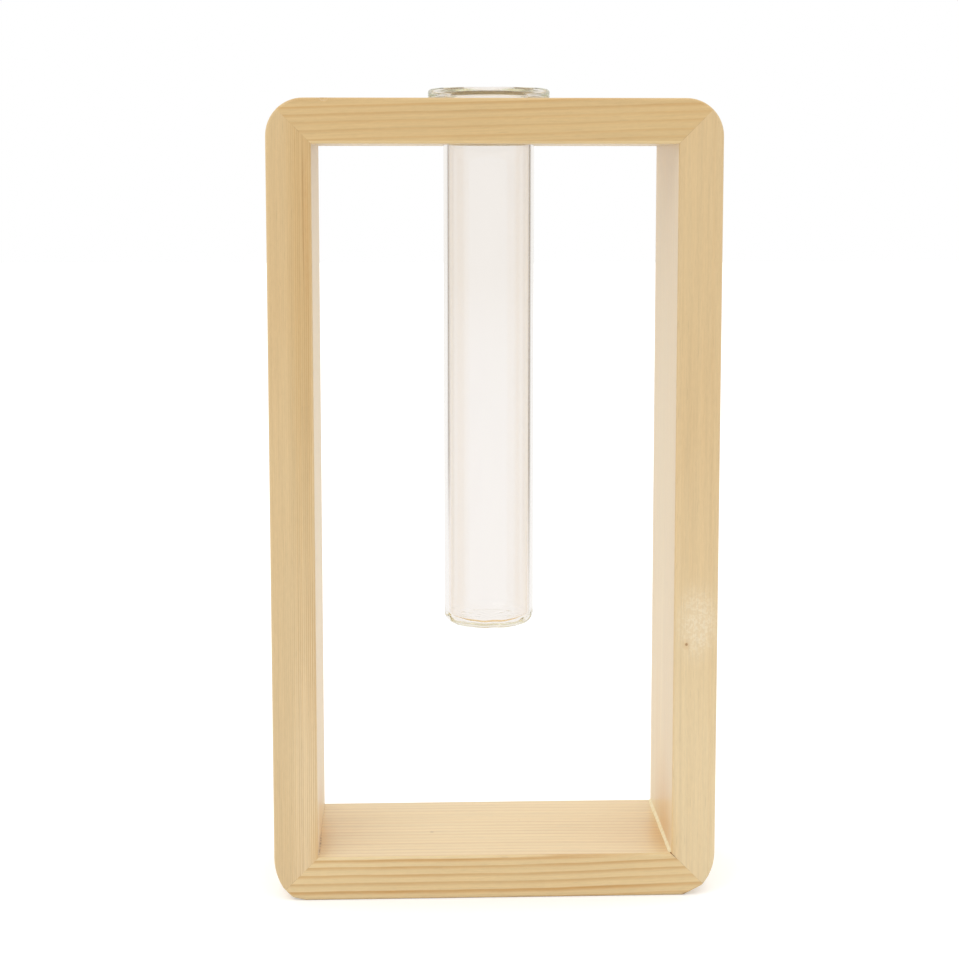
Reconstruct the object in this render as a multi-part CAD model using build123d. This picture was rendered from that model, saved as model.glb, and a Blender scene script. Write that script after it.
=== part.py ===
from build123d import *
import os

# Propagation vase: a mitred pine frame with a lipped glass test tube hung in its top rail.
# Millimetres. X runs to the right, Y from front to back and Z up.
# The origin is on the surface that the vase stands on, in the middle of the frame.

# Frame
frame_width = 121.0
frame_height = 217.5
board_depth = 50.0
board_thickness = 12.0
arris_radius = 0.8

# Outside corners: true rounds at the top, and uneven ones at the bottom, shaped by hand on a sander.
# A bottom corner starts as an arc down the stile and ends in flats along the rail.
# Its points are shares of the run along the rail and of the rise up the stile, from the sharp corner.
# The ends of the flats are eased by flat_edge_radius.
top_corner_radius = 10.0
bottom_corner_run = 8.6
bottom_corner_rise = 12.0
left_corner_shares = ((0.28, 0.29), (0.57, 0.07), (1.0, 0.0))
right_corner_shares = ((0.40, 0.22), (1.0, 0.0))
flat_edge_radius = 1.5

# A small dent in the front top edge
dent_from_left = 15.4
dent_width = 2.2
dent_depth = 0.5

# The mitre at the bottom right stands a little open towards the window
open_mitre_width = 0.35
open_mitre_length = 2.7

# Glass tube
tube_diameter = 25.0
tube_wall = 1.4
tube_length = 148.5
tube_base_thickness = 1.8
tube_heel_radius = 3.0
tube_inner_heel_radius = 1.8
lip_diameter = 33.4
lip_height = 3.0
lip_mouth_radius = 2.2
lip_neck_radius = 0.8
lip_seat_gap = 0.2

# Hole in the top rail, drilled a little left of the middle
tube_offset = 0.8
hole_clearance = 0.5
hole_edge = 0.5

# Brads, two at each mitre, driven through the stiles into the rails, and the filler over their heads
brad_inset = 8.5
brad_row_shares = (-0.25, 0.25)
brad_diameter = 1.2
brad_length = 20.0
brad_point_length = 1.8
brad_head_diameter = 1.8
brad_head_height = 0.8
brad_set_depth = 1.2
brad_clearance = 0.02

# How far every cutting shape runs past what it cuts
overrun = 5.0

# Worked out from the sizes above
half_width = frame_width / 2
half_depth = board_depth / 2
tube_radius = tube_diameter / 2
bore_radius = tube_radius - tube_wall
hole_radius = tube_radius + hole_clearance
under_lip = tube_length - lip_height
tube_bottom = frame_height + lip_seat_gap - under_lip
brad_rows = [share * board_depth for share in brad_row_shares]


def turned(outline):
    """A solid of revolution about Z, from a closed outline in the XZ plane."""
    return revolve(Plane.XZ * make_face(outline), Axis.Z)


def bottom_corner(side, shares):
    """The points of one bottom corner, from the stile to the rail; side is -1 for left, 1 for right."""
    points = [(side * half_width, bottom_corner_rise)]
    for run_share, rise_share in shares:
        x = half_width - run_share * bottom_corner_run
        points.append((side * x, rise_share * bottom_corner_rise))
    return points


def outer_outline():
    """The frame's outside as seen from the front."""
    left = bottom_corner(-1, left_corner_shares)
    right = bottom_corner(1, right_corner_shares)
    shoulder = frame_height - top_corner_radius
    top_x = half_width - top_corner_radius
    down = (0, -1)
    face = make_face([
        TangentArc(left[0], left[1], tangent=down),
        Polyline(*left[1:], *reversed(right[1:])),
        TangentArc(right[0], right[1], tangent=down),
        Line(right[0], (half_width, shoulder)),
        RadiusArc((half_width, shoulder), (top_x, frame_height), -top_corner_radius),
        Line((top_x, frame_height), (-top_x, frame_height)),
        RadiusArc((-top_x, frame_height), (-half_width, shoulder), -top_corner_radius),
        Line((-half_width, shoulder), left[0]),
    ])
    ends_of_flats = [v for v in face.vertices() if v.Y < bottom_corner_rise / 2]
    return fillet(ends_of_flats, flat_edge_radius)


def window_outline():
    """The opening inside the four boards, with sharp corners."""
    width = frame_width - board_thickness - board_thickness
    height = frame_height - board_thickness - board_thickness
    return Pos(0, frame_height / 2) * Rectangle(width, height)


def dent():
    """The ball that pressed the small dent into the front top edge."""
    radius = dent_width**2 / dent_depth / 8 + dent_depth / 2
    from_arris_centre = arris_radius + radius - dent_depth
    ball = Rot(45, 0, 0) * Pos(0, 0, from_arris_centre) * Sphere(radius)
    return Pos(dent_from_left - half_width, arris_radius - half_depth, frame_height - arris_radius) * ball


def frame_ring():
    """All four boards in one piece, with every long edge eased."""
    ring = extrude(Plane.XZ * (outer_outline() - window_outline()), amount=half_depth, both=True)
    front = ring.faces().sort_by(Axis.Y)[0]
    back = ring.faces().sort_by(Axis.Y)[-1]
    return fillet(front.edges() + back.edges(), arris_radius) - dent()


def between_mitres(points):
    """The room of one board, bounded by its mitre lines, through the whole depth and past both faces."""
    face = make_face(Polyline(*points, close=True))
    return extrude(Plane.XZ * face, amount=half_depth + overrun, both=True)


def stile_room(side):
    """The room of one upright; side is -1 for left, 1 for right."""
    outer = side * (half_width + overrun)
    inner = side * (half_width - board_thickness - overrun)
    low, high = -overrun, frame_height + overrun
    low_in, high_in = board_thickness + overrun, frame_height - board_thickness - overrun
    return between_mitres([(outer, low), (outer, high), (inner, high_in), (inner, low_in)])


def rail_room(outer_z, inner_z):
    """The room of one rail, from outside the frame to inside the window."""
    wide = half_width + overrun
    narrow = half_width - board_thickness - overrun
    return between_mitres([(-wide, outer_z), (wide, outer_z), (narrow, inner_z), (-narrow, inner_z)])


def open_mitre():
    """The thin wedge of air in the bottom right mitre, with its tip out in the wood."""
    reach = open_mitre_length / 2**0.5
    corner_x = half_width - board_thickness
    left_of_mouth = corner_x - reach - open_mitre_width - open_mitre_width
    return between_mitres([
        (corner_x + reach, board_thickness - reach),
        (left_of_mouth, board_thickness + reach),
        (corner_x + reach, board_thickness + reach),
    ])


def brad_places():
    """Where each brad is driven in: on a stile's outer face, with Z pointing out of the wood."""
    return [
        Location((side * half_width, row, height), (0, side * 90, 0))
        for side in (-1, 1)
        for height in (brad_inset, frame_height - brad_inset)
        for row in brad_rows
    ]


def brad():
    """One brad, point down, its head sunk below a surface at height zero."""
    radius = brad_diameter / 2
    head_radius = brad_head_diameter / 2
    top = -brad_set_depth
    under_head = top - brad_head_height
    point = top - brad_length
    shoulder = point + brad_point_length
    return turned(Polyline(
        (0, top), (head_radius, top), (head_radius, under_head), (radius, under_head),
        (radius, shoulder), (0, point), close=True,
    ))


def brad_hole():
    """The room that one brad and its filler take up in the wood."""
    radius = brad_diameter / 2 + brad_clearance
    head_radius = brad_head_diameter / 2 + brad_clearance
    under_head = -brad_set_depth - brad_head_height - brad_clearance
    point = -brad_set_depth - brad_length - brad_clearance
    return turned(Polyline(
        (0, overrun), (head_radius, overrun), (head_radius, under_head), (radius, under_head),
        (radius, point), (0, point), close=True,
    ))


def filler_plugs():
    """The filler over each brad's head, sanded off flush with the wood."""
    height = brad_set_depth - brad_clearance + overrun
    rod = Cylinder(brad_head_diameter / 2, height, align=(Align.CENTER, Align.CENTER, Align.MIN))
    rod = Pos(0, 0, brad_clearance - brad_set_depth) * rod
    outside = extrude(Plane.XZ * outer_outline(), amount=half_depth, both=True)
    return Compound([outside & (place * rod) for place in brad_places()])


def tube_hole():
    """The hole that the tube hangs in, with both its edges chamfered."""
    under = frame_height - board_thickness
    wide = hole_radius + hole_edge
    hole = turned(Polyline(
        (0, under - overrun), (wide, under - overrun), (wide, under), (hole_radius, under + hole_edge),
        (hole_radius, frame_height - hole_edge), (wide, frame_height), (wide, frame_height + overrun),
        (0, frame_height + overrun), close=True,
    ))
    return Pos(-tube_offset, 0, 0) * hole


def boards(ring):
    """The four boards, cut from the ring along the mitres and drilled for the brads."""
    for place in brad_places():
        ring -= place * brad_hole()
    low_in, high_in = board_thickness + overrun, frame_height - board_thickness - overrun
    return {
        "top_rail": (ring & rail_room(frame_height + overrun, high_in)) - tube_hole(),
        "bottom_rail": (ring & rail_room(-overrun, low_in)) - open_mitre(),
        "left_stile": ring & stile_room(-1),
        "right_stile": ring & stile_room(1),
    }


def glass_tube():
    """The tube: flat base, straight wall and a lip rolled outward."""
    lip_round = lip_height / 2
    lip_tip = lip_diameter / 2
    lip_edge = lip_tip - lip_round
    heel_in = tube_radius - tube_heel_radius
    neck_low = under_lip - lip_neck_radius
    neck_out = tube_radius + lip_neck_radius
    mouth_low = tube_length - lip_mouth_radius
    mouth_out = bore_radius + lip_mouth_radius
    floor_edge = bore_radius - tube_inner_heel_radius
    floor_rise = tube_base_thickness + tube_inner_heel_radius
    tube = turned([
        Line((0, 0), (heel_in, 0)),
        RadiusArc((heel_in, 0), (tube_radius, tube_heel_radius), -tube_heel_radius),
        Line((tube_radius, tube_heel_radius), (tube_radius, neck_low)),
        RadiusArc((tube_radius, neck_low), (neck_out, under_lip), lip_neck_radius),
        Line((neck_out, under_lip), (lip_edge, under_lip)),
        ThreePointArc((lip_edge, under_lip), (lip_tip, under_lip + lip_round), (lip_edge, tube_length)),
        Line((lip_edge, tube_length), (mouth_out, tube_length)),
        RadiusArc((mouth_out, tube_length), (bore_radius, mouth_low), -lip_mouth_radius),
        Line((bore_radius, mouth_low), (bore_radius, floor_rise)),
        RadiusArc((bore_radius, floor_rise), (floor_edge, tube_base_thickness), tube_inner_heel_radius),
        Line((floor_edge, tube_base_thickness), (0, tube_base_thickness)),
        Line((0, tube_base_thickness), (0, 0)),
    ])
    return Pos(-tube_offset, 0, tube_bottom) * tube


os.makedirs("parts", exist_ok=True)
nodes = boards(frame_ring())
nodes["corner_brads"] = Compound([place * brad() for place in brad_places()])
nodes["brad_filler"] = filler_plugs()
nodes["glass_tube"] = glass_tube()
for name, shape in nodes.items():
    export_step(shape, f"parts/{name}.step")
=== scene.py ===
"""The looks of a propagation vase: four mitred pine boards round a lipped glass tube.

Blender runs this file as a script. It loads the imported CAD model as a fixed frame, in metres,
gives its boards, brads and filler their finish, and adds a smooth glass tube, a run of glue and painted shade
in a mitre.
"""

import math

import bmesh
import bpy
from bpy.props import CollectionProperty, EnumProperty, FloatProperty, FloatVectorProperty
from bpy.props import IntProperty, PointerProperty
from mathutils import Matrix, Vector


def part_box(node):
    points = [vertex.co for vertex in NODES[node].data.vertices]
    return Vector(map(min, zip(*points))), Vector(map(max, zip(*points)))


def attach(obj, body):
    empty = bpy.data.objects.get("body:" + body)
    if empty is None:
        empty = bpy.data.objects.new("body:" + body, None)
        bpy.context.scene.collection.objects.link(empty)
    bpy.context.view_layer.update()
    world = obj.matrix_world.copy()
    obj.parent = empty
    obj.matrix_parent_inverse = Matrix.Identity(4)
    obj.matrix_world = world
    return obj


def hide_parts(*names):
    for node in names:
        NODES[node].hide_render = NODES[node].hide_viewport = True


bl_info = {
    "name": "Propagation Vase",
    "version": (1, 0, 0),
    "blender": (4, 5, 0),
    "location": "3D View > Sidebar > Vase",
    "description": "Dresses the boards, tube and glue of a propagation vase and sets its stage",
    "category": "Object",
}

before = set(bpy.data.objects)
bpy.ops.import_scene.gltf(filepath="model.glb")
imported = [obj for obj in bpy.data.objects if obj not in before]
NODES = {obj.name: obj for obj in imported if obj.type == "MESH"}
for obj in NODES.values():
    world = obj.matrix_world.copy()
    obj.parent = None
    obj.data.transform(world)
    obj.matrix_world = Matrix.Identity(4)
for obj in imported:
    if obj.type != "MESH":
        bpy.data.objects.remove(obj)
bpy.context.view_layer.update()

MM = 0.001
PICTURE = (959, 960)

# Places that the frame gives
RAIL_LOW, RAIL_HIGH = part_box("bottom_rail")
TOP_LOW, TOP_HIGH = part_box("top_rail")
RIGHT_LOW, RIGHT_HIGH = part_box("right_stile")
TUBE_LOW, TUBE_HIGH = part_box("glass_tube")
TUBE_MIDDLE = (TUBE_LOW + TUBE_HIGH) / 2
FRONT = RAIL_LOW.y
BACK = RAIL_HIGH.y
HALF_WIDTH = RIGHT_HIGH.x
WINDOW_CORNER = Vector((RIGHT_LOW.x, 0, RAIL_HIGH.z))

# The same in millimetres, for the marks in the wood: the hole's middle, the boards' outer and inner faces
# to the sides, the front, the sill and the underside of the top rail
HOLE = TUBE_MIDDLE.x / MM
OUTER = HALF_WIDTH / MM
INNER = WINDOW_CORNER.x / MM
FACE = FRONT / MM
SILL = WINDOW_CORNER.z / MM
UNDERSIDE = TOP_LOW.z / MM


def seen(red, green, blue):
    """A colour given as it looks on a screen, from 0 to 255, turned into the linear one that shaders use."""
    shares = (value / 255 for value in (red, green, blue))
    return tuple(s / 12.92 if s <= 0.04045 else ((s + 0.055) / 1.055) ** 2.4 for s in shares)


def mark(at, reach, colour, strength, edge=0.6, crumble=0.0, specks=900):
    """A soft-edged stain, patch, painted light or painted shade in the wood, in millimetres; crumble breaks
    it up into specks.
    """
    return {
        "at": at, "reach": reach, "colour": colour, "strength": strength, "edge": edge,
        "crumble": crumble, "specks": specks,
    }


KNOT_BROWN = seen(150, 100, 52)
KNOT_HALO = seen(214, 176, 122)
RESIN = seen(202, 140, 66)
RESIN_LINE = seen(160, 110, 48)
PALE_FUZZ = seen(242, 226, 196)
# Dark brown of the mitre hairlines, and of the painted shade at the low ends of the sanded flats
JOINT_AND_PAINTED_SHADE_BROWN = seen(112, 62, 18)
SPECK_BROWN = seen(132, 82, 34)
# Painted reflection of the warm wood in the inside corners
PAINTED_CORNER_REFLECTION = seen(216, 164, 80)
# Painted light: paler wood where the hole and the underside of the top rail lie in shade
PAINTED_PALE_LIGHT = seen(253, 230, 176)
# Painted sheen on the inner faces of the stiles
PAINTED_INNER_SHEEN = seen(244, 217, 168)
# Painted light on the sill's top and front edge
PAINTED_SILL_LIGHT = seen(242, 228, 186)
SUNNED_EDGE = seen(220, 191, 143)
PINE_SHEEN = {"Sheen Weight": 0.42, "Sheen Roughness": 0.4, "Sheen Tint": (1.0, 0.95, 0.8, 1)}

# How each board grew and was cut. Pith is where the middle of the tree was, in depth and in thickness.
BOARDS = {
    "top_rail": {
        "grain": "X",
        "pale": seen(217, 185, 131),
        "pale_end": seen(215, 183, 129),
        "dark": seen(200, 154, 90),
        "ring_width": 1.9 * MM,
        "ring_shift": 0.0,
        "pith_depth": 8 * MM,
        "pith_side": 140 * MM,
        "slope": math.radians(1.6),
        "sweep": 0.4 * MM,
        "line_strength": 0.6,
        "side_strength": 0.25,
        "unevenness": 0.5,
        "onset": 0.4,
        "wander": 0.9 * MM,
        "seed": 3.0,
    },
    "bottom_rail": {
        "grain": "X",
        "pale": seen(232, 205, 155),
        "pale_end": seen(231, 203, 152),
        "dark": seen(200, 146, 74),
        "ring_width": 1.68 * MM,
        "ring_shift": 0.6 * MM,
        "pith_depth": 280 * MM,
        "pith_side": -330 * MM,
        "slope": math.radians(0.2),
        "sweep": 1.5 * MM,
        "line_strength": 0.7,
        "side_strength": 0.5,
        "unevenness": 0.3,
        "onset": 0.35,
        "wander": 0.7 * MM,
        "seed": 11.0,
    },
    "left_stile": {
        "grain": "Z",
        # Paler low down than at the upper end: painted light from below, partly the wood's own change
        "pale": seen(234, 209, 166),
        "pale_end": seen(212, 180, 127),
        "dark": seen(190, 142, 78),
        "ring_width": 0.52 * MM,
        "ring_shift": 0.0,
        "pith_depth": 12 * MM,
        "pith_side": -170 * MM,
        "slope": math.radians(0.2),
        "sweep": 0.0,
        "line_strength": 0.5,
        "side_strength": 0.25,
        "unevenness": 0.6,
        "onset": 0.3,
        "wander": 0.35 * MM,
        "seed": 23.0,
    },
    "right_stile": {
        "grain": "Z",
        # Paler low down than at the upper end: painted light from below, partly the wood's own change
        "pale": seen(234, 211, 168),
        "pale_end": seen(220, 191, 143),
        "dark": seen(207, 168, 112),
        "ring_width": 2.6 * MM,
        "ring_shift": 0.0,
        "pith_depth": -20 * MM,
        "pith_side": 190 * MM,
        "slope": math.radians(-0.3),
        "sweep": 0.3 * MM,
        "line_strength": 0.12,
        "side_strength": 0.3,
        "unevenness": 0.9,
        "onset": 0.1,
        "wander": 1.8 * MM,
        "seed": 37.0,
    },
}

# Stains, knots and patches of each board, with painted light, shade, sheen and reflection, in millimetres
MARKS = {
    "top_rail": [
        # Painted light: the wood round and in the hole, and along the underside, made paler where it lies in
        # shade
        mark((HOLE, 0, 211), (15.5, 15.5, 40), PAINTED_PALE_LIGHT, 0.9, 0.12),
        mark((0, 0, UNDERSIDE), (400, 90, 0.9), PAINTED_PALE_LIGHT, 0.4, 0.4),
    ],
    "bottom_rail": [
        # Two pin knots in the sill, and painted light that makes the sill's top and front edge paler and
        # yellower
        mark((-17.1, -3.6, SILL), (0.9, 0.8, 2), KNOT_BROWN, 0.7, 0.9),
        mark((8.2, 6.3, SILL), (0.7, 0.8, 2), KNOT_HALO, 0.7, 0.9),
        mark((0, 0, SILL), (400, 90, 1.0), PAINTED_SILL_LIGHT, 0.2, 0.4),
        # Painted reflection of warm wood in the inside corners, with dirt along the left one
        mark((-INNER, -8, SILL), (6, 26, 4), PAINTED_CORNER_REFLECTION, 0.4, 1.0),
        mark((INNER, -8, SILL), (7, 26, 4), PAINTED_CORNER_REFLECTION, 0.5, 1.0),
        mark((-INNER, -14, SILL), (0.6, 12, 0.8), SPECK_BROWN, 0.8, 0.6, 1.0, 1000),
        # Painted shade at the low end of the sanded flat on the right
        mark((52.4, FACE, 0.4), (1.2, 1.6, 0.6), JOINT_AND_PAINTED_SHADE_BROWN, 0.8, 0.9),
    ],
    "left_stile": [
        # Darker wood along the outer edge, and painted sheen that makes the inner face paler
        mark((-OUTER, FACE, 110), (8.5, 20, 400), SUNNED_EDGE, 0.75, 0.5),
        mark((-INNER, 0, 130), (1.0, 70, 110), PAINTED_INNER_SHEEN, 0.5, 0.8),
        # A streak of resin beside the window, with one thin dark line
        mark((-49.9, FACE, 184), (1.3, 12, 32), RESIN, 0.2, 0.9, 0.4, 600),
        mark((-50.8, FACE, 190), (0.22, 12, 26), RESIN_LINE, 0.5, 0.6, 0.2, 300),
        # The inside corner, as on the bottom rail: painted reflection of warm wood, and dirt along it
        mark((-INNER, -8, SILL), (4, 28, 24), PAINTED_CORNER_REFLECTION, 0.8, 1.0),
        mark((-INNER, -14, SILL), (0.8, 12, 1.6), SPECK_BROWN, 0.8, 0.6, 1.0, 1000),
    ],
    "right_stile": [
        # A rubbed patch on the front, and painted sheen that makes the inner face paler
        mark((55.0, FACE, 76.5), (7.5, 3, 14.0), PALE_FUZZ, 0.75, 0.8, 0.6, 1500),
        mark((INNER, 0, 130), (1.0, 70, 110), PAINTED_INNER_SHEEN, 0.35, 0.8),
        # The pin knot beside the patch, with its halo
        mark((51.95, FACE, 70.6), (1.5, 6, 2.4), KNOT_HALO, 0.5, 1.0),
        mark((51.95, FACE, 70.6), (0.5, 6, 0.55), KNOT_BROWN, 0.7, 0.6),
        # Painted reflection of warm wood in the inside corner, and painted shade by the rounded outside one
        mark((INNER, -8, SILL), (4, 28, 30), PAINTED_CORNER_REFLECTION, 0.85, 1.0),
        # Painted shade at the low end of the rounded outside corner
        mark((57.1, FACE, 3.0), (1.2, 1.6, 0.8), JOINT_AND_PAINTED_SHADE_BROWN, 0.8, 0.9),
    ],
}

# Blender's Mix node repeats the names of its sockets, so they go by number: the share and the two values
MIX_NUMBERS = (0, 2, 3)
MIX_COLOURS = (0, 6, 7)
MIXED_COLOUR = 2


class Tree:
    """Adds nodes to a shader tree. Each call wires what feeds a node and returns its output socket."""

    STEP = 190

    def __init__(self, tree):
        self.tree = tree

    def node(self, kind, feeds=None, out=0, **settings):
        """A node with its settings, and its inputs by name or number."""
        made = self.tree.nodes.new("ShaderNode" + kind)
        made.location.x = self.STEP * len(self.tree.nodes)
        for name, value in settings.items():
            setattr(made, name, value)
        for socket, value in (feeds or {}).items():
            self.feed(made.inputs[socket], value)
        return made.outputs[out]

    def feed(self, socket, value):
        """Links another node's output to the socket, or sets the socket's own value."""
        if isinstance(value, bpy.types.NodeSocket):
            self.tree.links.new(value, socket)
        else:
            socket.default_value = value

    def place(self, group, feeds):
        """A node group placed in this tree, by the names of its inputs; returns its outputs by name."""
        made = self.tree.nodes.new("ShaderNodeGroup")
        made.node_tree = group
        made.location.x = self.STEP * len(self.tree.nodes)
        for name, value in feeds.items():
            self.feed(made.inputs[name], value)
        return made.outputs

    def here(self):
        """The point that is shaded, in metres."""
        return self.node("TexCoord", out="Object")

    def split(self, vector):
        """The three numbers of a vector."""
        apart = self.tree.nodes.new("ShaderNodeSeparateXYZ")
        self.feed(apart.inputs["Vector"], vector)
        return apart.outputs

    def maths(self, operation, *values, clamp=False):
        return self.node("Math", dict(enumerate(values)), operation=operation, use_clamp=clamp)

    def vector(self, operation, *values):
        out = "Value" if operation == "LENGTH" else "Vector"
        return self.node("VectorMath", dict(enumerate(values)), out, operation=operation)

    def ranged(self, share, start, change):
        """Start where the share is nothing, and all of the change where it is whole."""
        return self.maths("MULTIPLY_ADD", share, change, start)

    def smooth(self, value, low, high):
        """Nothing at low, all at high, and an even turn between them."""
        feeds = {"Value": value, "From Min": low, "From Max": high}
        return self.node("MapRange", feeds, interpolation_type="SMOOTHSTEP")

    def noise(self, vector, scale, detail=2.0):
        return self.node("TexNoise", {"Vector": vector, "Scale": scale, "Detail": detail})

    def noise_along(self, value, scale, detail=1.0):
        """Noise that depends on one number."""
        return self.node("TexNoise", {"W": value, "Scale": scale, "Detail": detail}, noise_dimensions="1D")

    def around_zero(self, value, size):
        """Noise from 0 to 1 made into noise of that size, as much below zero as above."""
        return self.maths("MULTIPLY", self.maths("SUBTRACT", value, 0.5), size)

    def drawn_out(self, place, along):
        """Place with its length along the grain scaled, so that noise there is drawn out."""
        return self.vector("MULTIPLY", place, (1, 1, along))

    def number_mix(self, share, one, other):
        return self.node("Mix", dict(zip(MIX_NUMBERS, (share, one, other))), clamp_factor=True)

    def blend(self, share, one, other, way="MIX"):
        """Two colours mixed; three numbers are a colour too."""
        feeds = dict(zip(MIX_COLOURS, (share, self.opaque(one), self.opaque(other))))
        return self.node("Mix", feeds, MIXED_COLOUR, data_type="RGBA", blend_type=way, clamp_factor=True)

    def opaque(self, colour):
        return colour if isinstance(colour, bpy.types.NodeSocket) else (*colour, 1)

    def relief(self, height, strength, depth):
        return self.node("Bump", {"Height": height, "Strength": strength, "Distance": depth})


SOCKETS = {"number": "NodeSocketFloat", "vector": "NodeSocketVector", "colour": "NodeSocketColor"}


def shared_effect(name, inputs, outputs, build):
    """A node group, built once. build(tree, inputs) returns the socket for each output by name."""
    if name in bpy.data.node_groups:
        return bpy.data.node_groups[name]
    group = bpy.data.node_groups.new(name, "ShaderNodeTree")
    for way, sockets in (("INPUT", inputs), ("OUTPUT", outputs)):
        for socket, kind in sockets.items():
            group.interface.new_socket(name=socket, in_out=way, socket_type=SOCKETS[kind])
    entry = group.nodes.new("NodeGroupInput")
    ready = build(Tree(group), entry.outputs)
    leave = group.nodes.new("NodeGroupOutput")
    for socket, value in ready.items():
        group.links.new(value, leave.inputs[socket])
    return group


# When in the year a ring is darkest, and when its dark line has begun to stop, as shares of the year
LINE_FULL_SHARE = 0.86
LINE_STOP_SHARE = 0.88


def growth_rings():
    """Rings round the tree's pith: a slow darkening through each year that ends in a hard line."""

    def stray(tree, given, scale, along):
        """How far a ring is from round."""
        seeded = tree.vector("ADD", tree.drawn_out(given["Place"], along), given["Seed"])
        return tree.around_zero(tree.noise(seeded, scale), given["Wander"])

    def build(tree, given):
        across = tree.vector("SUBTRACT", given["Place"], given["Pith"])
        radius = tree.vector("LENGTH", tree.drawn_out(across, 0))
        bend = stray(tree, given, scale=22, along=0.12)
        ripple = stray(tree, given, scale=170, along=0.4)
        ripple_share = 0.45
        radius = tree.maths("ADD", radius, tree.ranged(ripple, start=bend, change=ripple_share))
        years = tree.maths("DIVIDE", tree.maths("ADD", radius, given["Ring shift"]), given["Ring width"])
        good_years = tree.noise_along(tree.maths("ADD", years, given["Seed"]), scale=0.45)
        years = tree.maths("ADD", years, tree.around_zero(good_years, given["Unevenness"]))
        season = tree.maths("FRACT", years)
        rise = tree.smooth(season, given["Onset"], LINE_FULL_SHARE)
        stop = tree.smooth(season, 1.0, LINE_STOP_SHARE)
        year = tree.node("TexWhiteNoise", {"W": tree.maths("FLOOR", years)}, noise_dimensions="1D")
        worn = tree.noise(tree.drawn_out(given["Place"], 0.3), scale=110)
        tone = tree.ranged(year, start=0.4, change=0.6)
        tone = tree.maths("MULTIPLY", tone, tree.ranged(worn, start=0.3, change=1.4))
        return {"Latewood": tree.maths("MULTIPLY", tree.maths("MULTIPLY", rise, stop), tone)}

    inputs = {
        "Place": "vector", "Pith": "vector", "Ring width": "number", "Ring shift": "number",
        "Unevenness": "number", "Onset": "number", "Wander": "number", "Seed": "number",
    }
    return shared_effect("Growth rings", inputs, {"Latewood": "number"}, build)


# Noise in the wood: how fine it is across the grain, what share of that along it, and its detail
FIBRES = {
    "Fibre": {"scale": 2600, "along": 0.03, "detail": 3},
    "Fleck": {"scale": 2200, "along": 0.2, "detail": 2},
    "Streak": {"scale": 800, "along": 0.015, "detail": 3},
    "Canals": {"scale": 2800, "along": 0.06, "detail": 1},
    "Cloud": {"scale": 60, "along": 0.3, "detail": 2},
}
CANAL_EDGE = (0.66, 0.78)


def wood_fibre():
    """Fibres, flecks, streaks and the pits of resin canals, all along the grain, and a slow cloudiness."""

    def build(tree, given):
        seeded = tree.vector("ADD", given["Place"], given["Seed"])
        ready = {}
        for name, kind in FIBRES.items():
            ready[name] = tree.noise(tree.drawn_out(seeded, kind["along"]), kind["scale"], kind["detail"])
        ready["Canals"] = tree.smooth(ready["Canals"], *CANAL_EDGE)
        return ready

    outputs = {name: "number" for name in FIBRES}
    return shared_effect("Wood fibre", {"Place": "vector", "Seed": "number"}, outputs, build)


SPECK_EDGE = (0.42, 0.62)


def soft_spot():
    """An egg-shaped mask, full in the middle and gone at its reach, that can crumble into specks."""

    def build(tree, given):
        offset = tree.vector("SUBTRACT", given["Place"], given["Middle"])
        offset = tree.vector("DIVIDE", offset, given["Reach"])
        start = tree.maths("SUBTRACT", 1.0, given["Edge"])
        whole = tree.smooth(tree.vector("LENGTH", offset), 1.0, start)
        speck = tree.smooth(tree.noise(given["Place"], given["Speck scale"]), *SPECK_EDGE)
        kept = tree.number_mix(given["Crumble"], 1.0, speck)
        return {"Mask": tree.maths("MULTIPLY", whole, kept)}

    inputs = {
        "Place": "vector", "Middle": "vector", "Reach": "vector", "Edge": "number",
        "Crumble": "number", "Speck scale": "number",
    }
    return shared_effect("Soft spot", inputs, {"Mask": "number"}, build)


SEAM_WIDTH = 0.16 * MM
SEAM_STRENGTH = 0.28
SEAM_BREAKS = (0.4, 0.62)


def mitre_line():
    """The dark hairline along all four mitres, broken where the joint closed up."""

    def build(tree, given):
        x, _, z = tree.split(given["Place"])
        aside = tree.maths("ABSOLUTE", x)
        low = tree.maths("SUBTRACT", tree.maths("ADD", aside, z), HALF_WIDTH)
        high = tree.maths("SUBTRACT", tree.maths("SUBTRACT", z, aside), TOP_HIGH.z - HALF_WIDTH)
        away = tree.maths("MINIMUM", tree.maths("ABSOLUTE", low), tree.maths("ABSOLUTE", high))
        line = tree.smooth(away, given["Width"], 0.0)
        kept = tree.smooth(tree.noise(given["Place"], scale=900), *SEAM_BREAKS)
        return {"Mask": tree.maths("MULTIPLY", line, kept)}

    return shared_effect("Mitre line", {"Place": "vector", "Width": "number"}, {"Mask": "number"}, build)


# How much each thing in the wood changes its lightness, and how much a cloud takes from green and blue
LIGHTNESS = {"Fibre": 0.16, "Fleck": 0.12, "Streak": 0.2}
CANAL_SHADE = 0.1
CLOUD_SIZE = 0.14
CLOUD_GREEN_SHARE = 0.5
CLOUD_BLUE_SHARE = 1.2
FIBRE_ROUGHNESS = 0.12
FIBRE_HEIGHT = 0.5
LINE_HEIGHT = 0.6
CANAL_DEPTH = 0.8


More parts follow.
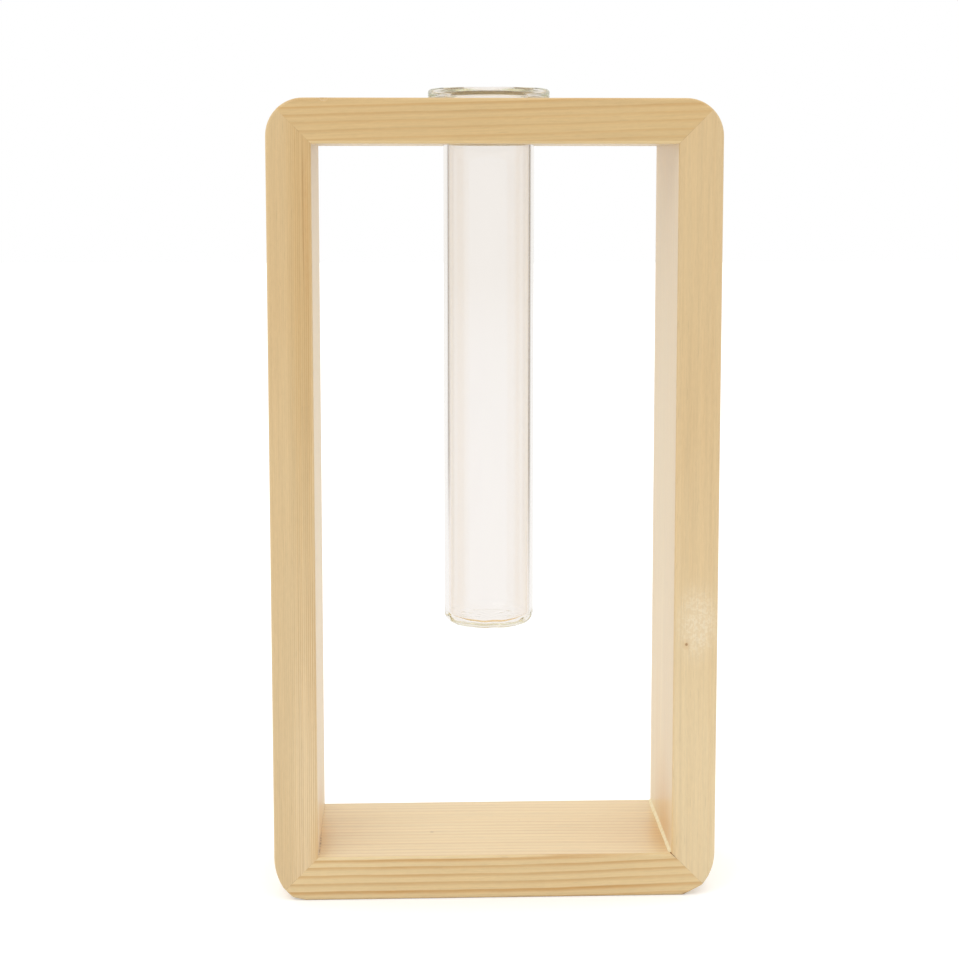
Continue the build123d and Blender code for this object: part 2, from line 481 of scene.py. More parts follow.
def sanded_pine():
    """Colour, gloss and relief of bare sanded pine, from its colour before the fibres show in it."""

    def build(tree, given):
        light = 1.0
        for name, size in LIGHTNESS.items():
            light = tree.maths("ADD", light, tree.around_zero(given[name], size))
        light = tree.maths("SUBTRACT", light, tree.maths("MULTIPLY", given["Canals"], CANAL_SHADE))
        warm = tree.around_zero(given["Cloud"], CLOUD_SIZE)
        green = tree.maths("SUBTRACT", light, tree.maths("MULTIPLY", warm, CLOUD_GREEN_SHARE))
        blue = tree.maths("SUBTRACT", light, tree.maths("MULTIPLY", warm, CLOUD_BLUE_SHARE))
        tone = tree.node("CombineColor", {"Red": light, "Green": green, "Blue": blue})
        colour = tree.blend(1.0, given["Colour"], tone, "MULTIPLY")
        dull = tree.ranged(given["Latewood"], start=0.34, change=-0.08)
        dull = tree.maths("ADD", dull, tree.around_zero(given["Fibre"], FIBRE_ROUGHNESS))
        fibres = tree.maths("MULTIPLY", given["Fibre"], FIBRE_HEIGHT)
        height = tree.ranged(given["Latewood"], start=fibres, change=LINE_HEIGHT)
        height = tree.maths("SUBTRACT", height, tree.maths("MULTIPLY", given["Canals"], CANAL_DEPTH))
        return {"Colour": colour, "Roughness": dull, "Height": height}

    inputs = {"Colour": "colour", "Latewood": "number", **{name: "number" for name in FIBRES}}
    outputs = {"Colour": "colour", "Roughness": "number", "Height": "number"}
    return shared_effect("Sanded pine", inputs, outputs, build)


def new_material(name):
    """A material with one Principled shader, and the tree to add to."""
    material = bpy.data.materials.new(name)
    material.use_nodes = True
    tree = Tree(material.node_tree)
    shader = material.node_tree.nodes["Principled BSDF"]
    return material, tree, shader


def finish(tree, shader, colour, roughness, bump=None):
    """Feeds the shader what changes over the surface."""
    tree.feed(shader.inputs["Base Color"], colour)
    tree.feed(shader.inputs["Roughness"], roughness)
    if bump is not None:
        tree.feed(shader.inputs["Normal"], bump)


def set_even(shader, values):
    """Sets on the shader what is the same all over the surface."""
    for socket, value in values.items():
        shader.inputs[socket].default_value = value


def paint(obj, material):
    """Gives every face of a piece the same finish."""
    obj.data.materials.clear()
    obj.data.materials.append(material)


def mesh_piece(name, bm, material):
    """A new smooth-shaded piece from a finished bmesh."""
    bmesh.ops.recalc_face_normals(bm, faces=bm.faces)
    mesh = bpy.data.meshes.new(name)
    bm.to_mesh(mesh)
    bm.free()
    mesh.shade_smooth()
    piece = bpy.data.objects.new(name, mesh)
    bpy.context.scene.collection.objects.link(piece)
    paint(piece, material)
    return piece


class BoardSettings(bpy.types.PropertyGroup):
    """How one pine board grew and was cut."""

    grain: EnumProperty(
        name="Grain", description="The way that the fibres run", default="X",
        items=[("X", "Across", "From left to right"), ("Z", "Up", "From bottom to top")],
    )
    pale: FloatVectorProperty(
        name="Earlywood", description="Colour of the pale wood between the lines",
        default=seen(232, 205, 155), subtype="COLOR",
    )
    pale_end: FloatVectorProperty(
        name="Earlywood at the end", description="The same at the board's far or upper end",
        default=seen(231, 203, 152), subtype="COLOR",
    )
    dark: FloatVectorProperty(
        name="Latewood", description="Colour of the dark lines", default=seen(200, 146, 74), subtype="COLOR",
    )
    ring_width: FloatProperty(
        name="Ring width", description="Growth of one year", default=2 * MM, min=0.1 * MM, unit="LENGTH",
    )
    ring_shift: FloatProperty(
        name="Ring shift", description="Slides all the rings away from the pith", default=0.0, unit="LENGTH",
    )
    pith_depth: FloatProperty(
        name="Pith depth", description="Where the pith is, from front to back", default=0.0, unit="LENGTH",
    )
    pith_side: FloatProperty(
        name="Pith side", description="Where the pith is, across the board's thickness",
        default=150 * MM, unit="LENGTH",
    )
    slope: FloatProperty(
        name="Slope", description="Angle of the grain to the board", default=0.0, subtype="ANGLE",
    )
    sweep: FloatProperty(
        name="Sweep", description="How far the grain bends away towards the far or upper end",
        default=0.0, unit="LENGTH",
    )
    line_strength: FloatProperty(
        name="Line strength", description="How dark the lines are on the front and back",
        default=0.5, min=0, max=1, subtype="FACTOR",
    )
    side_strength: FloatProperty(
        name="Side strength", description="How dark the lines are on the other sides",
        default=0.25, min=0, max=1, subtype="FACTOR",
    )
    unevenness: FloatProperty(
        name="Unevenness", description="How much the rings differ in width", default=0.4, min=0, max=2,
    )
    onset: FloatProperty(
        name="Onset", description="How far through the year the wood starts to darken",
        default=0.4, min=0, max=0.9,
    )
    wander: FloatProperty(
        name="Wander", description="How far a ring strays from round", default=0.5 * MM, unit="LENGTH",
    )
    seed: FloatProperty(name="Seed", description="Picks another board of the same kind", default=1.0)


class GlassSettings(bpy.types.PropertyGroup):
    """Sizes and colour of the glass tube, whose length, width and place come from the frame."""

    wall: FloatProperty(name="Wall", description="Thickness of the wall", default=1.4 * MM, unit="LENGTH")
    base: FloatProperty(name="Base", description="Thickness of the base", default=1.8 * MM, unit="LENGTH")
    width: FloatProperty(
        name="Width", description="Outside diameter of the tube", default=25 * MM, unit="LENGTH",
    )
    lip: FloatProperty(name="Lip", description="Height of the rolled lip", default=3 * MM, unit="LENGTH")
    heel: FloatProperty(
        name="Heel", description="Radius of the base's outside edge", default=3 * MM, unit="LENGTH",
    )
    ripple: FloatProperty(
        name="Ripple", description="Unevenness of the base from flattening it hot",
        default=0.16 * MM, unit="LENGTH",
    )
    sides: IntProperty(name="Sides", description="How many faces go round the tube", default=160, min=16)
    cast: FloatVectorProperty(
        name="Cast", description="Faint colour of light through the glass",
        default=(0.995, 0.99, 0.985), subtype="COLOR",
    )
    depth: FloatVectorProperty(
        name="Depth colour", description="Colour that thick glass takes on",
        default=(0.86, 0.9, 0.66), subtype="COLOR",
    )
    density: FloatProperty(
        name="Density", description="How soon the glass takes on its depth colour, per metre",
        default=4.0, min=0,
    )
    smear_dullness: FloatProperty(
        name="Smears", description="How rough the glass is in its smears", default=0.03, min=0, max=1,
    )
    lip_dullness: FloatProperty(
        name="Dull lip", description="How rough the top half of the lip is", default=0.1, min=0, max=1,
    )


class GlueSettings(bpy.types.PropertyGroup):
    """The bead of glue along one inside corner, and the dark sheet of painted shade in the open mitre under
    it.
    """

    width: FloatProperty(
        name="Bead width", description="How far the bead reaches", default=0.8 * MM, unit="LENGTH",
    )
    mitre_width: FloatProperty(
        name="Mitre gap", description="How wide the open mitre is", default=0.35 * MM, unit="LENGTH",
    )
    mitre_length: FloatProperty(
        name="Mitre length", description="How far in the mitre is open", default=2.7 * MM, unit="LENGTH",
    )
    colour: FloatVectorProperty(
        name="Glue", description="Colour of the dried glue", default=seen(244, 230, 188), subtype="COLOR",
    )


class StageSettings(bpy.types.PropertyGroup):
    """Camera, floor and light."""

    lens: FloatProperty(name="Lens", description="Focal length in millimetres", default=77.98, min=1)
    floor_size: FloatProperty(name="Floor", description="Side of the floor", default=8.0, unit="LENGTH")
    sky_in_front: FloatProperty(
        name="Sky in front", description="Strength of the even light from the camera's side",
        default=0.6, min=0,
    )
    sky_behind: FloatProperty(
        name="Sky behind", description="Strength of the even light from behind", default=1.2, min=0,
    )
    sky_above: FloatProperty(
        name="Sky above", description="Strength of the even light from overhead", default=1.25, min=0,
    )
    room: FloatProperty(
        name="Room", description="How light the room in front shows in glass", default=0.82, min=0, max=1,
    )
    backdrop: FloatVectorProperty(
        name="Backdrop", description="Colour of the backdrop in glass",
        default=(0.905, 0.865, 0.822), subtype="COLOR",
    )
    near_floor: FloatVectorProperty(
        name="Near floor", description="Colour of the floor near the vase in glass",
        default=(0.95, 0.918, 0.892), subtype="COLOR",
    )
    flag: FloatVectorProperty(
        name="Flags", description="Colour of the flags that draw the edges of the glass",
        default=(0.40, 0.36, 0.32), subtype="COLOR",
    )
    paper: FloatProperty(name="Floor paper", description="How light the floor is", default=0.82, min=0, max=1)
    glow: FloatProperty(
        name="Floor glow", description="What whitens the floor under the shadow", default=0.28, min=0,
    )
    key: FloatProperty(name="Key", description="Power of the soft lamp in watts", default=4.0, min=0)


class VaseSettings(bpy.types.PropertyGroup):
    """All that can be changed about the vase's looks."""

    boards: CollectionProperty(type=BoardSettings)
    glass: PointerProperty(type=GlassSettings)
    glue: PointerProperty(type=GlueSettings)
    stage: PointerProperty(type=StageSettings)


def fill_boards(settings):
    """Copies the values of BOARDS into the settings, where they can be changed."""
    settings.boards.clear()
    for name, values in BOARDS.items():
        board = settings.boards.add()
        board.name = name
        for key, value in values.items():
            setattr(board, key, value)


# How far from a board's middle its bend and its change of colour end, as shares of half its length
BEND_SHARE = 1.4
FADE_SHARE = 0.5


def wood_place(tree, board):
    """The shaded point, its place in the board's own grain, and how far it is towards the far end."""
    here = tree.here()
    x, y, z = tree.split(here)
    low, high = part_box(board.name)
    middle = (low + high) / 2
    if board.grain == "X":
        thickness, length = z, x
        centre = (middle.y, middle.z, middle.x)
        half = (high.x - low.x) / 2
    else:
        thickness, length = x, z
        centre = (middle.y, middle.x, middle.z)
        half = (high.z - low.z) / 2
    bend = tree.smooth(length, centre[2], centre[2] + half * BEND_SHARE)
    thickness = tree.maths("SUBTRACT", thickness, tree.maths("MULTIPLY", bend, board.sweep))
    place = tree.node("CombineXYZ", {"X": y, "Y": thickness, "Z": length})
    feeds = {"Vector": place, "Center": centre, "Angle": board.slope}
    place = tree.node("VectorRotate", feeds, rotation_type="X_AXIS")
    share = tree.smooth(length, centre[2] - half, centre[2] + half * FADE_SHARE)
    return here, place, share


def growth(tree, place, board):
    """How far a point is into a ring's dark line, less on the board's sides than on its front and back."""
    rings = tree.place(growth_rings(), {
        "Place": place,
        "Pith": (board.pith_depth, board.pith_side, 0),
        "Ring width": board.ring_width,
        "Ring shift": board.ring_shift,
        "Unevenness": board.unevenness,
        "Onset": board.onset,
        "Wander": board.wander,
        "Seed": board.seed,
    })
    facing = tree.split(tree.node("TexCoord", out="Normal"))["Y"]
    strength = tree.number_mix(tree.maths("ABSOLUTE", facing), board.side_strength, board.line_strength)
    return tree.maths("MULTIPLY", rings["Latewood"], strength, clamp=True)


def with_marks(tree, here, name, colour):
    """The colour with the board's own stains, knots and patches, its painted light, shade, sheen and
    reflection, and the hairlines of the mitres.
    """
    for spot in MARKS[name]:
        mask = tree.place(soft_spot(), {
            "Place": here,
            "Middle": [value * MM for value in spot["at"]],
            "Reach": [value * MM for value in spot["reach"]],
            "Edge": spot["edge"],
            "Crumble": spot["crumble"],
            "Speck scale": spot["specks"],
        })["Mask"]
        colour = tree.blend(tree.maths("MULTIPLY", mask, spot["strength"]), colour, spot["colour"])
    seam = tree.place(mitre_line(), {"Place": here, "Width": SEAM_WIDTH})["Mask"]
    return tree.blend(tree.maths("MULTIPLY", seam, SEAM_STRENGTH), colour, JOINT_AND_PAINTED_SHADE_BROWN)


def pine(board):
    """The finish of one board."""
    material, tree, shader = new_material(board.name + "_pine")
    here, place, share = wood_place(tree, board)
    late = growth(tree, place, board)
    fibre = tree.place(wood_fibre(), {"Place": place, "Seed": board.seed})
    # The pale wood turns from its lower colour to that at the far end; on the stiles the paler lower end is
    # painted light from below
    clear = tree.blend(late, tree.blend(share, board.pale, board.pale_end), board.dark)
    feeds = {"Colour": with_marks(tree, here, board.name, clear), "Latewood": late}
    feeds.update({name: fibre[name] for name in FIBRES})
    sanded = tree.place(sanded_pine(), feeds)
    bump = tree.relief(sanded["Height"], strength=0.6, depth=0.03 * MM)
    finish(tree, shader, sanded["Colour"], sanded["Roughness"], bump)
    set_even(shader, PINE_SHEEN)
    return material


def steel():
    """Plain wire steel, drawn along the brad."""
    material, tree, shader = new_material("brad_steel")
    dark, light = (0.52, 0.52, 0.50), (0.70, 0.70, 0.68)
    along_brad = (0.05, 1, 1)
    drawn = tree.noise(tree.vector("MULTIPLY", tree.here(), along_brad), scale=4000)
    finish(tree, shader, tree.blend(drawn, dark, light), tree.ranged(drawn, start=0.25, change=0.2))
    set_even(shader, {"Metallic": 1.0})
    return material


def filler():
    """Wood filler, sanded flush: plain, a little pinker than the pine, with fine crumbs in it."""
    material, tree, shader = new_material("wood_filler")
    here = tree.here()
    crumbs = tree.noise(here, scale=5200, detail=3)
    cloud = tree.noise(here, scale=700)
    cloud_strength = 0.3
    colour = tree.blend(crumbs, seen(222, 190, 146), seen(236, 209, 170))
    colour = tree.blend(tree.maths("MULTIPLY", cloud, cloud_strength), colour, seen(205, 164, 118))
    bump = tree.relief(crumbs, strength=0.5, depth=0.02 * MM)
    finish(tree, shader, colour, tree.ranged(crumbs, start=0.7, change=0.15), bump)
    return material


# Where a smear in the glass begins and is whole, and how little light it takes away
SMEAR_EDGE = (0.5, 0.8)
SMEAR_SHADE = 0.985


def glass(settings):
    """Clear drawn glass, yellow-green where it is thick, with very fine draw lines and a few dull smears."""
    material, tree, shader = new_material("clear_glass")
    here = tree.here()
    smears = tree.smooth(tree.noise(tree.drawn_out(here, 0.3), scale=130, detail=4), *SMEAR_EDGE)
    drawn = tree.noise(tree.drawn_out(here, 0.02), scale=900)
    tint = tree.blend(smears, settings.cast, [SMEAR_SHADE * value for value in settings.cast])
    lip = tree.smooth(tree.split(here)["Z"], TUBE_HIGH.z - settings.lip, TUBE_HIGH.z - settings.lip / 2)
    lip_dullness = tree.maths("MULTIPLY", lip, settings.lip_dullness)
    dull = tree.ranged(smears, start=lip_dullness, change=settings.smear_dullness)
    finish(tree, shader, tint, dull, tree.relief(drawn, strength=0.2, depth=0.01 * MM))
    set_even(shader, {"Transmission Weight": 1.0, "IOR": 1.5})
    body = material.node_tree.nodes.new("ShaderNodeVolumeAbsorption")
    body.inputs["Color"].default_value = (*settings.depth, 1)
    body.inputs["Density"].default_value = settings.density
    leave = material.node_tree.nodes["Material Output"]
    material.node_tree.links.new(body.outputs["Volume"], leave.inputs["Volume"])
    return material


# How much of each colour of the glue is left where it is thick, and where thick glue begins and is whole
THICK_GLUE_SHARES = (0.93, 0.88, 0.72)
THICK_GLUE_EDGE = (0.4, 0.7)


def dried_glue(settings):
    """Yellowish dried glue, a little glossy."""
    material, tree, shader = new_material("dried_glue")
    cloud = tree.noise(tree.here(), scale=600, detail=3)
    thick = [value * share for value, share in zip(settings.colour, THICK_GLUE_SHARES)]
    colour = tree.blend(tree.smooth(cloud, *THICK_GLUE_EDGE), settings.colour, thick)
    bump = tree.relief(cloud, strength=0.4, depth=0.05 * MM)
    finish(tree, shader, colour, tree.ranged(cloud, start=0.3, change=0.2), bump)
    return material


def painted_mitre_shade():
    """Painted shade: crumbly dark brown deep in the open mitre, where the gap is in shadow."""
    material, tree, shader = new_material("painted_mitre_shade")
    crumbs = tree.noise(tree.here(), scale=3000, detail=3)
    colour = tree.blend(crumbs, seen(122, 62, 16), seen(160, 98, 42))
    bump = tree.relief(crumbs, strength=0.6, depth=0.05 * MM)
    finish(tree, shader, colour, tree.ranged(crumbs, start=0.7, change=0.2), bump)
    return material


def arc(middle, radius, start, end, steps=10):
    """Points on a circle in the outline's plane, from one angle to another in degrees."""
    angles = (math.radians(start + (end - start) * i / steps) for i in range(steps + 1))
    return [(middle[0] + radius * math.cos(a), middle[1] + radius * math.sin(a)) for a in angles]


def tube_outline(settings):
    """The tube's section from the bottom of its axis, up the outside, over the lip and down the inside."""
    outer = settings.width / 2
    bore = outer - settings.wall
    bottom, top = TUBE_LOW.z, TUBE_HIGH.z
    tip = (TUBE_HIGH.x - TUBE_LOW.x) / 2
    under_lip = top - settings.lip
    floor = bottom + settings.base
    heel = settings.heel
    inner_heel = 1.8 * MM
    neck = 0.8 * MM
    rim = 1.0 * MM
    mouth = 2.6 * MM
    return [
        (0, bottom),
        *arc((outer - heel, bottom + heel), heel, -90, 0),
        *arc((outer + neck, under_lip - neck), neck, 180, 90),
        *arc((tip - rim, under_lip + rim), rim, -90, 0),
        *arc((tip - rim, top - rim), rim, 0, 90),
        *arc((bore + mouth, top - mouth), mouth, 90, 180),
        *arc((bore - inner_heel, floor + inner_heel), inner_heel, 0, -90),
        (0, floor),
    ]


# How unevenly the hot base was flattened: waves round the tube, where each starts, and its share
HEEL_WAVES = ((9, 0.4, 0.5), (14, 2.1, 0.3), (5, 1.2, 0.2))


def tube_point(settings, radius, height, angle):
    """A point of the tube at a radius, height and angle; low inside, the uneven base lifts it."""
    bore = settings.width / 2 - settings.wall
    slack = 0.1 * MM
    ripple_top = TUBE_LOW.z + settings.base + 4 * MM
    fade = 6
    if radius < bore + slack and height < ripple_top:
        wave = sum(share * math.cos(count * angle + start) for count, start, share in HEEL_WAVES)
        height += settings.ripple * wave * (radius / bore) ** fade
    return TUBE_MIDDLE.x + radius * math.cos(angle), TUBE_MIDDLE.y + radius * math.sin(angle), height


def make_tube(settings):
    """The glass tube, turned about its axis, closed and smooth."""
    bm = bmesh.new()
    first, *side, last = tube_outline(settings)
    bottom = bm.verts.new((TUBE_MIDDLE.x, TUBE_MIDDLE.y, first[1]))
    centre = bm.verts.new((TUBE_MIDDLE.x, TUBE_MIDDLE.y, last[1]))
    rings = []
    for i in range(settings.sides):
        angle = 2 * math.pi * i / settings.sides
        rings.append([bm.verts.new(tube_point(settings, *point, angle)) for point in side])
    for one, other in zip(rings, rings[1:] + rings[:1]):
        bm.faces.new((bottom, other[0], one[0]))
        bm.faces.new((centre, one[-1], other[-1]))
        for i in range(len(one) - 1):
            bm.faces.new((one[i], other[i], other[i + 1], one[i + 1]))
    return mesh_piece("clear_tube", bm, glass(settings))


def skinned(rows):
    """A closed bmesh over rows of points, each row a ring round the piece, capped at both ends."""
    bm = bmesh.new()
    rings = [[bm.verts.new(point) for point in row] for row in rows]
    for one, other in zip(rings, rings[1:]):
        for i in range(len(one)):
            j = (i + 1) % len(one)
            bm.faces.new((one[i], one[j], other[j], other[i]))
    bm.faces.new(rings[0])
    bm.faces.new(list(reversed(rings[-1])))
    return bm


# Swellings of the bead: how fast each wave turns, where it starts, and how large it is
BEAD_WAVES = ((17, 0.6, 0.05), (41, 2.0, 0.03))


def bead_row(settings, share):
    """The bead's section at a share of its way back: one point sunk in the corner, and the curve round it."""
    front_gap = 1.0 * MM
    back_gap = 0.6 * MM
    sunk = 0.08 * MM
    hollow = 0.3
    around = 6
    end_share = 0.5
    end_slope = 25
    x = WINDOW_CORNER.x + sunk
    y = FRONT + front_gap + share * (BACK - FRONT - front_gap - back_gap)
    z = WINDOW_CORNER.z - sunk
    swell = 1 + sum(size * math.sin(speed * share + start) for speed, start, size in BEAD_WAVES)
    taper = min(1, end_slope * share + end_share, end_slope * (1 - share) + end_share)
    row = [(x, y, z)]
    for k in range(around + 1):
        turn = math.pi / 2 * k / around
        reach = (settings.width * swell * taper + sunk) * (1 - hollow * math.sin(2 * turn))
        row.append((x - reach * math.cos(turn), y, z + reach * math.sin(turn)))
    return row


def make_glue(settings):
    """The bead of glue squeezed out along the bottom right inside corner, from front to back."""
    stations = 60
    rows = [bead_row(settings, i / stations) for i in range(stations + 1)]
    return mesh_piece("corner_glue", skinned(rows), dried_glue(settings))


def make_mitre_shade(settings):
    """A dark sheet of painted shade that lies back from the mouth of the open mitre at the bottom right."""
    reach = settings.mitre_length / math.sqrt(2)
    sunk = 0.03 * MM
    set_back = 0.5 * MM
    corner = WINDOW_CORNER
    section = [
        (corner.x + reach, corner.z - reach),
        (corner.x, corner.z - sunk),
        (corner.x - settings.mitre_width, corner.z - sunk),
    ]
    rows = [[(x, y, z) for x, z in section] for y in (FRONT + set_back, BACK - set_back)]
    return mesh_piece("mitre_shade_sheet", skinned(rows), painted_mitre_shade())


class VASE_OT_dress_boards(bpy.types.Operator):
    """Gives the four boards their sanded pine"""

    bl_idname = "vase.dress_boards"
    bl_label = "Dress Boards"

    def execute(self, context):
        for board in context.scene.vase.boards:
            paint(NODES[board.name], pine(board))
        return {"FINISHED"}


class VASE_OT_dress_brads(bpy.types.Operator):
    """Gives the brads their steel, and the plugs over their heads the filler"""

    bl_idname = "vase.dress_brads"
    bl_label = "Dress Brads and Filler"

    def execute(self, context):
        paint(NODES["corner_brads"], steel())
        paint(NODES["brad_filler"], filler())
        return {"FINISHED"}


class VASE_OT_make_tube(bpy.types.Operator):
    """Turns the glass tube and hangs it in the top rail"""

    bl_idname = "vase.make_tube"
    bl_label = "Make Glass Tube"

    def execute(self, context):
        tube = make_tube(context.scene.vase.glass)
        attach(tube, "tube")
        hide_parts("glass_tube")
        return {"FINISHED"}


class VASE_OT_make_glue(bpy.types.Operator):
    """Runs the bead of glue along the bottom right inside corner, and puts painted shade in the open mitre
    under it
    """

    bl_idname = "vase.make_glue"
    bl_label = "Make Glue Bead"

    def execute(self, context):
        settings = context.scene.vase.glue
        for piece in (make_glue(settings), make_mitre_shade(settings)):
            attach(piece, "frame")
        return {"FINISHED"}


# The camera's place and aim, and the point of the picture that it faces, in pixels
CAMERA_PLACE = (-24.68 * MM, -576.28 * MM, 198.12 * MM)
CAMERA_DOWN = math.radians(6.91)
CAMERA_RIGHT = math.radians(2.372)
CAMERA_FACES = (488.7, 424.0)


def add_camera(settings):
    """The camera at the photograph's viewing angle."""
    camera = bpy.data.cameras.new("camera")
    camera.lens = settings.lens
    longest = max(PICTURE)
    camera.shift_x = (PICTURE[0] / 2 - CAMERA_FACES[0]) / longest
    camera.shift_y = (CAMERA_FACES[1] - PICTURE[1] / 2) / longest
    camera.clip_start = 10 * MM
    rig = bpy.data.objects.new("camera", camera)
    rig.location = CAMERA_PLACE
    rig.rotation_euler = (math.pi / 2 - CAMERA_DOWN, 0, -CAMERA_RIGHT)
    bpy.context.scene.collection.objects.link(rig)
    bpy.context.scene.camera = rig


# Where glass shows the studio dimmer, in a level circle of radius one round the vase. Aside is how far to
# either side, and ahead how far away from the camera's side. DIM_UP is how high the dimming reaches, and
# TURN_TO_RIGHT where left passes into right.
FLAG_BEGINS = (0.5, 0.66)
FLAG_ENDS = (0.82, 0.74)
FLAG_AHEAD = (-0.3, 0.0)
ROOM_AHEAD = (0.1, -0.6)
DIM_UP = (0.4, 0.12)
TURN_TO_RIGHT = (-0.1, 0.1)


def dim_parts():
    """Where glass shows the studio dimmer: a grey flag at each side, and the room in front."""

    def build(tree, given):
        x, y, z = tree.split(given["Direction"])
        level = tree.vector("LENGTH", tree.drawn_out(given["Direction"], 0))
        aside = tree.maths("DIVIDE", tree.maths("ABSOLUTE", x), level)
        ahead = tree.maths("DIVIDE", y, level)
        low = tree.smooth(z, *DIM_UP)
        flags = tree.maths("MULTIPLY", tree.smooth(aside, *FLAG_BEGINS), tree.smooth(aside, *FLAG_ENDS))
        flags = tree.maths("MULTIPLY", flags, tree.maths("MULTIPLY", low, tree.smooth(ahead, *FLAG_AHEAD)))
        front = tree.maths("MULTIPLY", tree.smooth(ahead, *ROOM_AHEAD), low)
        return {"Flags": flags, "Front": front, "Right": tree.smooth(x, *TURN_TO_RIGHT), "Distance": level}

    outputs = {"Flags": "number", "Front": "number", "Right": "number", "Distance": "number"}
    return shared_effect("Dim parts", {"Direction": "vector"}, outputs, build)


def ray_kinds(tree):
    """What kind of ray meets the shader: one output for each kind, by Blender's names."""
    return tree.tree.nodes.new("ShaderNodeLightPath").outputs


def grey(light):
    """A colour without a hue."""
    return light, light, light


def look_in_glass(tree, settings, plain, flags, front):
    """The colour that the studio shows in glass, from that of its plain parts."""
    return tree.blend(flags, tree.blend(front, plain, grey(settings.room)), settings.flag)


# How the sky's strength turns from behind to in front along Y, and to overhead along Z
SKY_TO_FRONT = (0.0, -0.9)
SKY_TO_TOP = (0.25, 0.9)


def add_sky(settings):
    """Even light from all round, against a white background."""
    world = bpy.data.worlds.new("white_studio")
    bpy.context.scene.world = world
    world.use_nodes = True
    tree = Tree(world.node_tree)
    direction = tree.node("TexCoord", out="Generated")
    _, y, z = tree.split(direction)
    dim = tree.place(dim_parts(), {"Direction": direction})
    in_glass = look_in_glass(tree, settings, settings.backdrop, dim["Flags"], dim["Front"])
    rays = ray_kinds(tree)
    camera, through = rays["Is Camera Ray"], rays["Is Transmission Ray"]
    light = tree.number_mix(tree.smooth(y, *SKY_TO_FRONT), settings.sky_behind, settings.sky_in_front)
    light = tree.number_mix(tree.smooth(z, *SKY_TO_TOP), light, settings.sky_above)
    light = tree.number_mix(rays["Is Glossy Ray"], light, 1.0)
    strength = tree.number_mix(tree.maths("ADD", camera, through, clamp=True), light, 1.0)
    backdrop = world.node_tree.nodes["Background"]
    tree.feed(backdrop.inputs["Color"], tree.blend(through, grey(1), in_glass))
    tree.feed(backdrop.inputs["Strength"], strength)


# Distances in metres at which, along the floor, the flags begin and are whole, to the left and to the right,
# the room in front begins and is whole, and the floor's own tone begins and is whole
FLAGS_NEAR = (0.4, 0.2)
FLAGS_FAR = (0.8, 0.75)
ROOM_FADE = (0.2, 3.5)
FLOOR_FADE = (3.5, 0.7)


def floor_paper(settings):
    """White paper that glass shows toned and dimmed, like the backdrop."""
    material, tree, shader = new_material("white_floor")
    dim = tree.place(dim_parts(), {"Direction": tree.here()})
    away = dim["Distance"]
    near = tree.number_mix(dim["Right"], *FLAGS_NEAR)
    far = tree.number_mix(dim["Right"], *FLAGS_FAR)
    flags = tree.maths("MULTIPLY", dim["Flags"], tree.smooth(away, near, far))
    front = tree.maths("MULTIPLY", dim["Front"], tree.smooth(away, *ROOM_FADE))
    plain = tree.blend(tree.smooth(away, *FLOOR_FADE), settings.backdrop, settings.near_floor)
    in_glass = look_in_glass(tree, settings, plain, flags, front)
    rays = ray_kinds(tree)
    camera, through = rays["Is Camera Ray"], rays["Is Transmission Ray"]
    glow = tree.blend(camera, grey(0), grey(settings.glow))
    tree.feed(shader.inputs["Base Color"], tree.blend(through, grey(settings.paper), grey(0)))
    tree.feed(shader.inputs["Emission Color"], tree.blend(through, glow, in_glass))
    set_even(shader, {"Roughness": 1.0, "Specular IOR Level": 0.0, "Emission Strength": 1.0})
    return material


def add_floor(settings):
    """The white floor, which keeps the vase's shadow."""
    half = settings.floor_size / 2
    corners = [(-half, -half, 0), (half, -half, 0), (half, half, 0), (-half, half, 0)]
    mesh = bpy.data.meshes.new("floor")
    mesh.from_pydata(corners, [], [(0, 1, 2, 3)])
    floor = bpy.data.objects.new("floor", mesh)
    bpy.context.scene.collection.objects.link(floor)
    paint(floor, floor_paper(settings))


LAMP_PLACE = Vector((-0.9, -1.2, 1.5))
LAMP_AIM = Vector((0, 0, 0.1))
LAMP_SIDE = 1.0


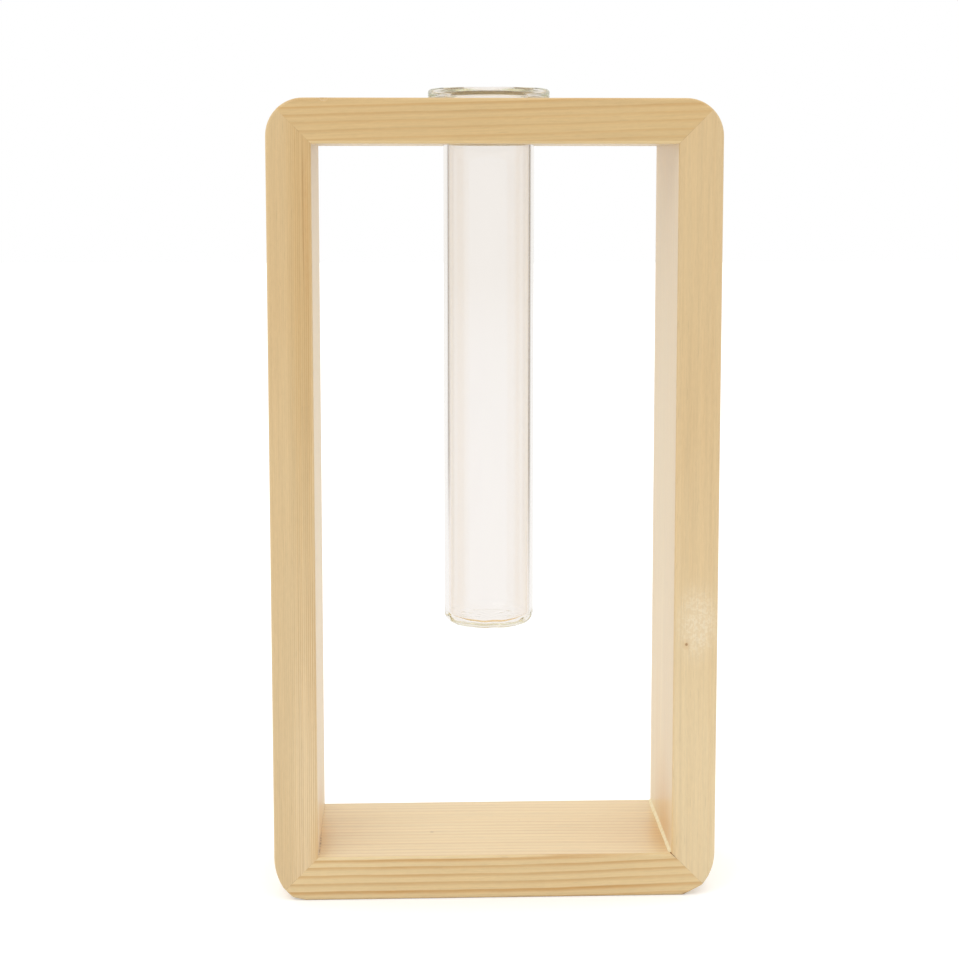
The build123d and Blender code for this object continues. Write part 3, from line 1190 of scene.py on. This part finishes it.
def add_lamp(settings):
    """One large soft lamp, high on the left in front."""
    lamp = bpy.data.lights.new("soft_key", "AREA")
    lamp.shape = "SQUARE"
    lamp.size = LAMP_SIDE
    lamp.energy = settings.key
    holder = bpy.data.objects.new("soft_key", lamp)
    holder.location = LAMP_PLACE
    holder.rotation_euler = (LAMP_AIM - LAMP_PLACE).to_track_quat("-Z", "Y").to_euler()
    bpy.context.scene.collection.objects.link(holder)


# Light is turned back many times inside the glass before it leaves
MOST_BOUNCES = 200
GLASS_BOUNCES = 180


class VASE_OT_set_stage(bpy.types.Operator):
    """Sets up the camera, the white floor, the sky and the lamp"""

    bl_idname = "vase.set_stage"
    bl_label = "Set Stage"

    def execute(self, context):
        settings = context.scene.vase.stage
        context.scene.view_settings.view_transform = "Standard"
        context.scene.cycles.max_bounces = MOST_BOUNCES
        context.scene.cycles.glossy_bounces = GLASS_BOUNCES
        context.scene.cycles.transmission_bounces = GLASS_BOUNCES
        add_camera(settings)
        add_sky(settings)
        add_floor(settings)
        add_lamp(settings)
        return {"FINISHED"}


OPERATORS = (
    VASE_OT_set_stage,
    VASE_OT_dress_boards,
    VASE_OT_dress_brads,
    VASE_OT_make_tube,
    VASE_OT_make_glue,
)


class VASE_PT_sidebar(bpy.types.Panel):
    """Lists the steps and their values"""

    bl_idname = "VASE_PT_sidebar"
    bl_label = "Propagation Vase"
    bl_space_type = "VIEW_3D"
    bl_region_type = "UI"
    bl_category = "Vase"

    def draw(self, context):
        settings = context.scene.vase
        for operator in OPERATORS:
            self.layout.operator(operator.bl_idname)
        for part in (*settings.boards, settings.glass, settings.glue, settings.stage):
            box = self.layout.box()
            for name in part.__annotations__:
                box.prop(part, name)


CLASSES = (
    BoardSettings,
    GlassSettings,
    GlueSettings,
    StageSettings,
    VaseSettings,
    *OPERATORS,
    VASE_PT_sidebar,
)


def register():
    for cls in CLASSES:
        bpy.utils.register_class(cls)
    bpy.types.Scene.vase = PointerProperty(type=VaseSettings)


def unregister():
    del bpy.types.Scene.vase
    for cls in reversed(CLASSES):
        bpy.utils.unregister_class(cls)


def main():
    """Runs every step in order."""
    register()
    fill_boards(bpy.context.scene.vase)
    bpy.ops.vase.set_stage()
    bpy.ops.vase.dress_boards()
    bpy.ops.vase.dress_brads()
    bpy.ops.vase.make_tube()
    bpy.ops.vase.make_glue()


if __name__ == "__main__":
    main()
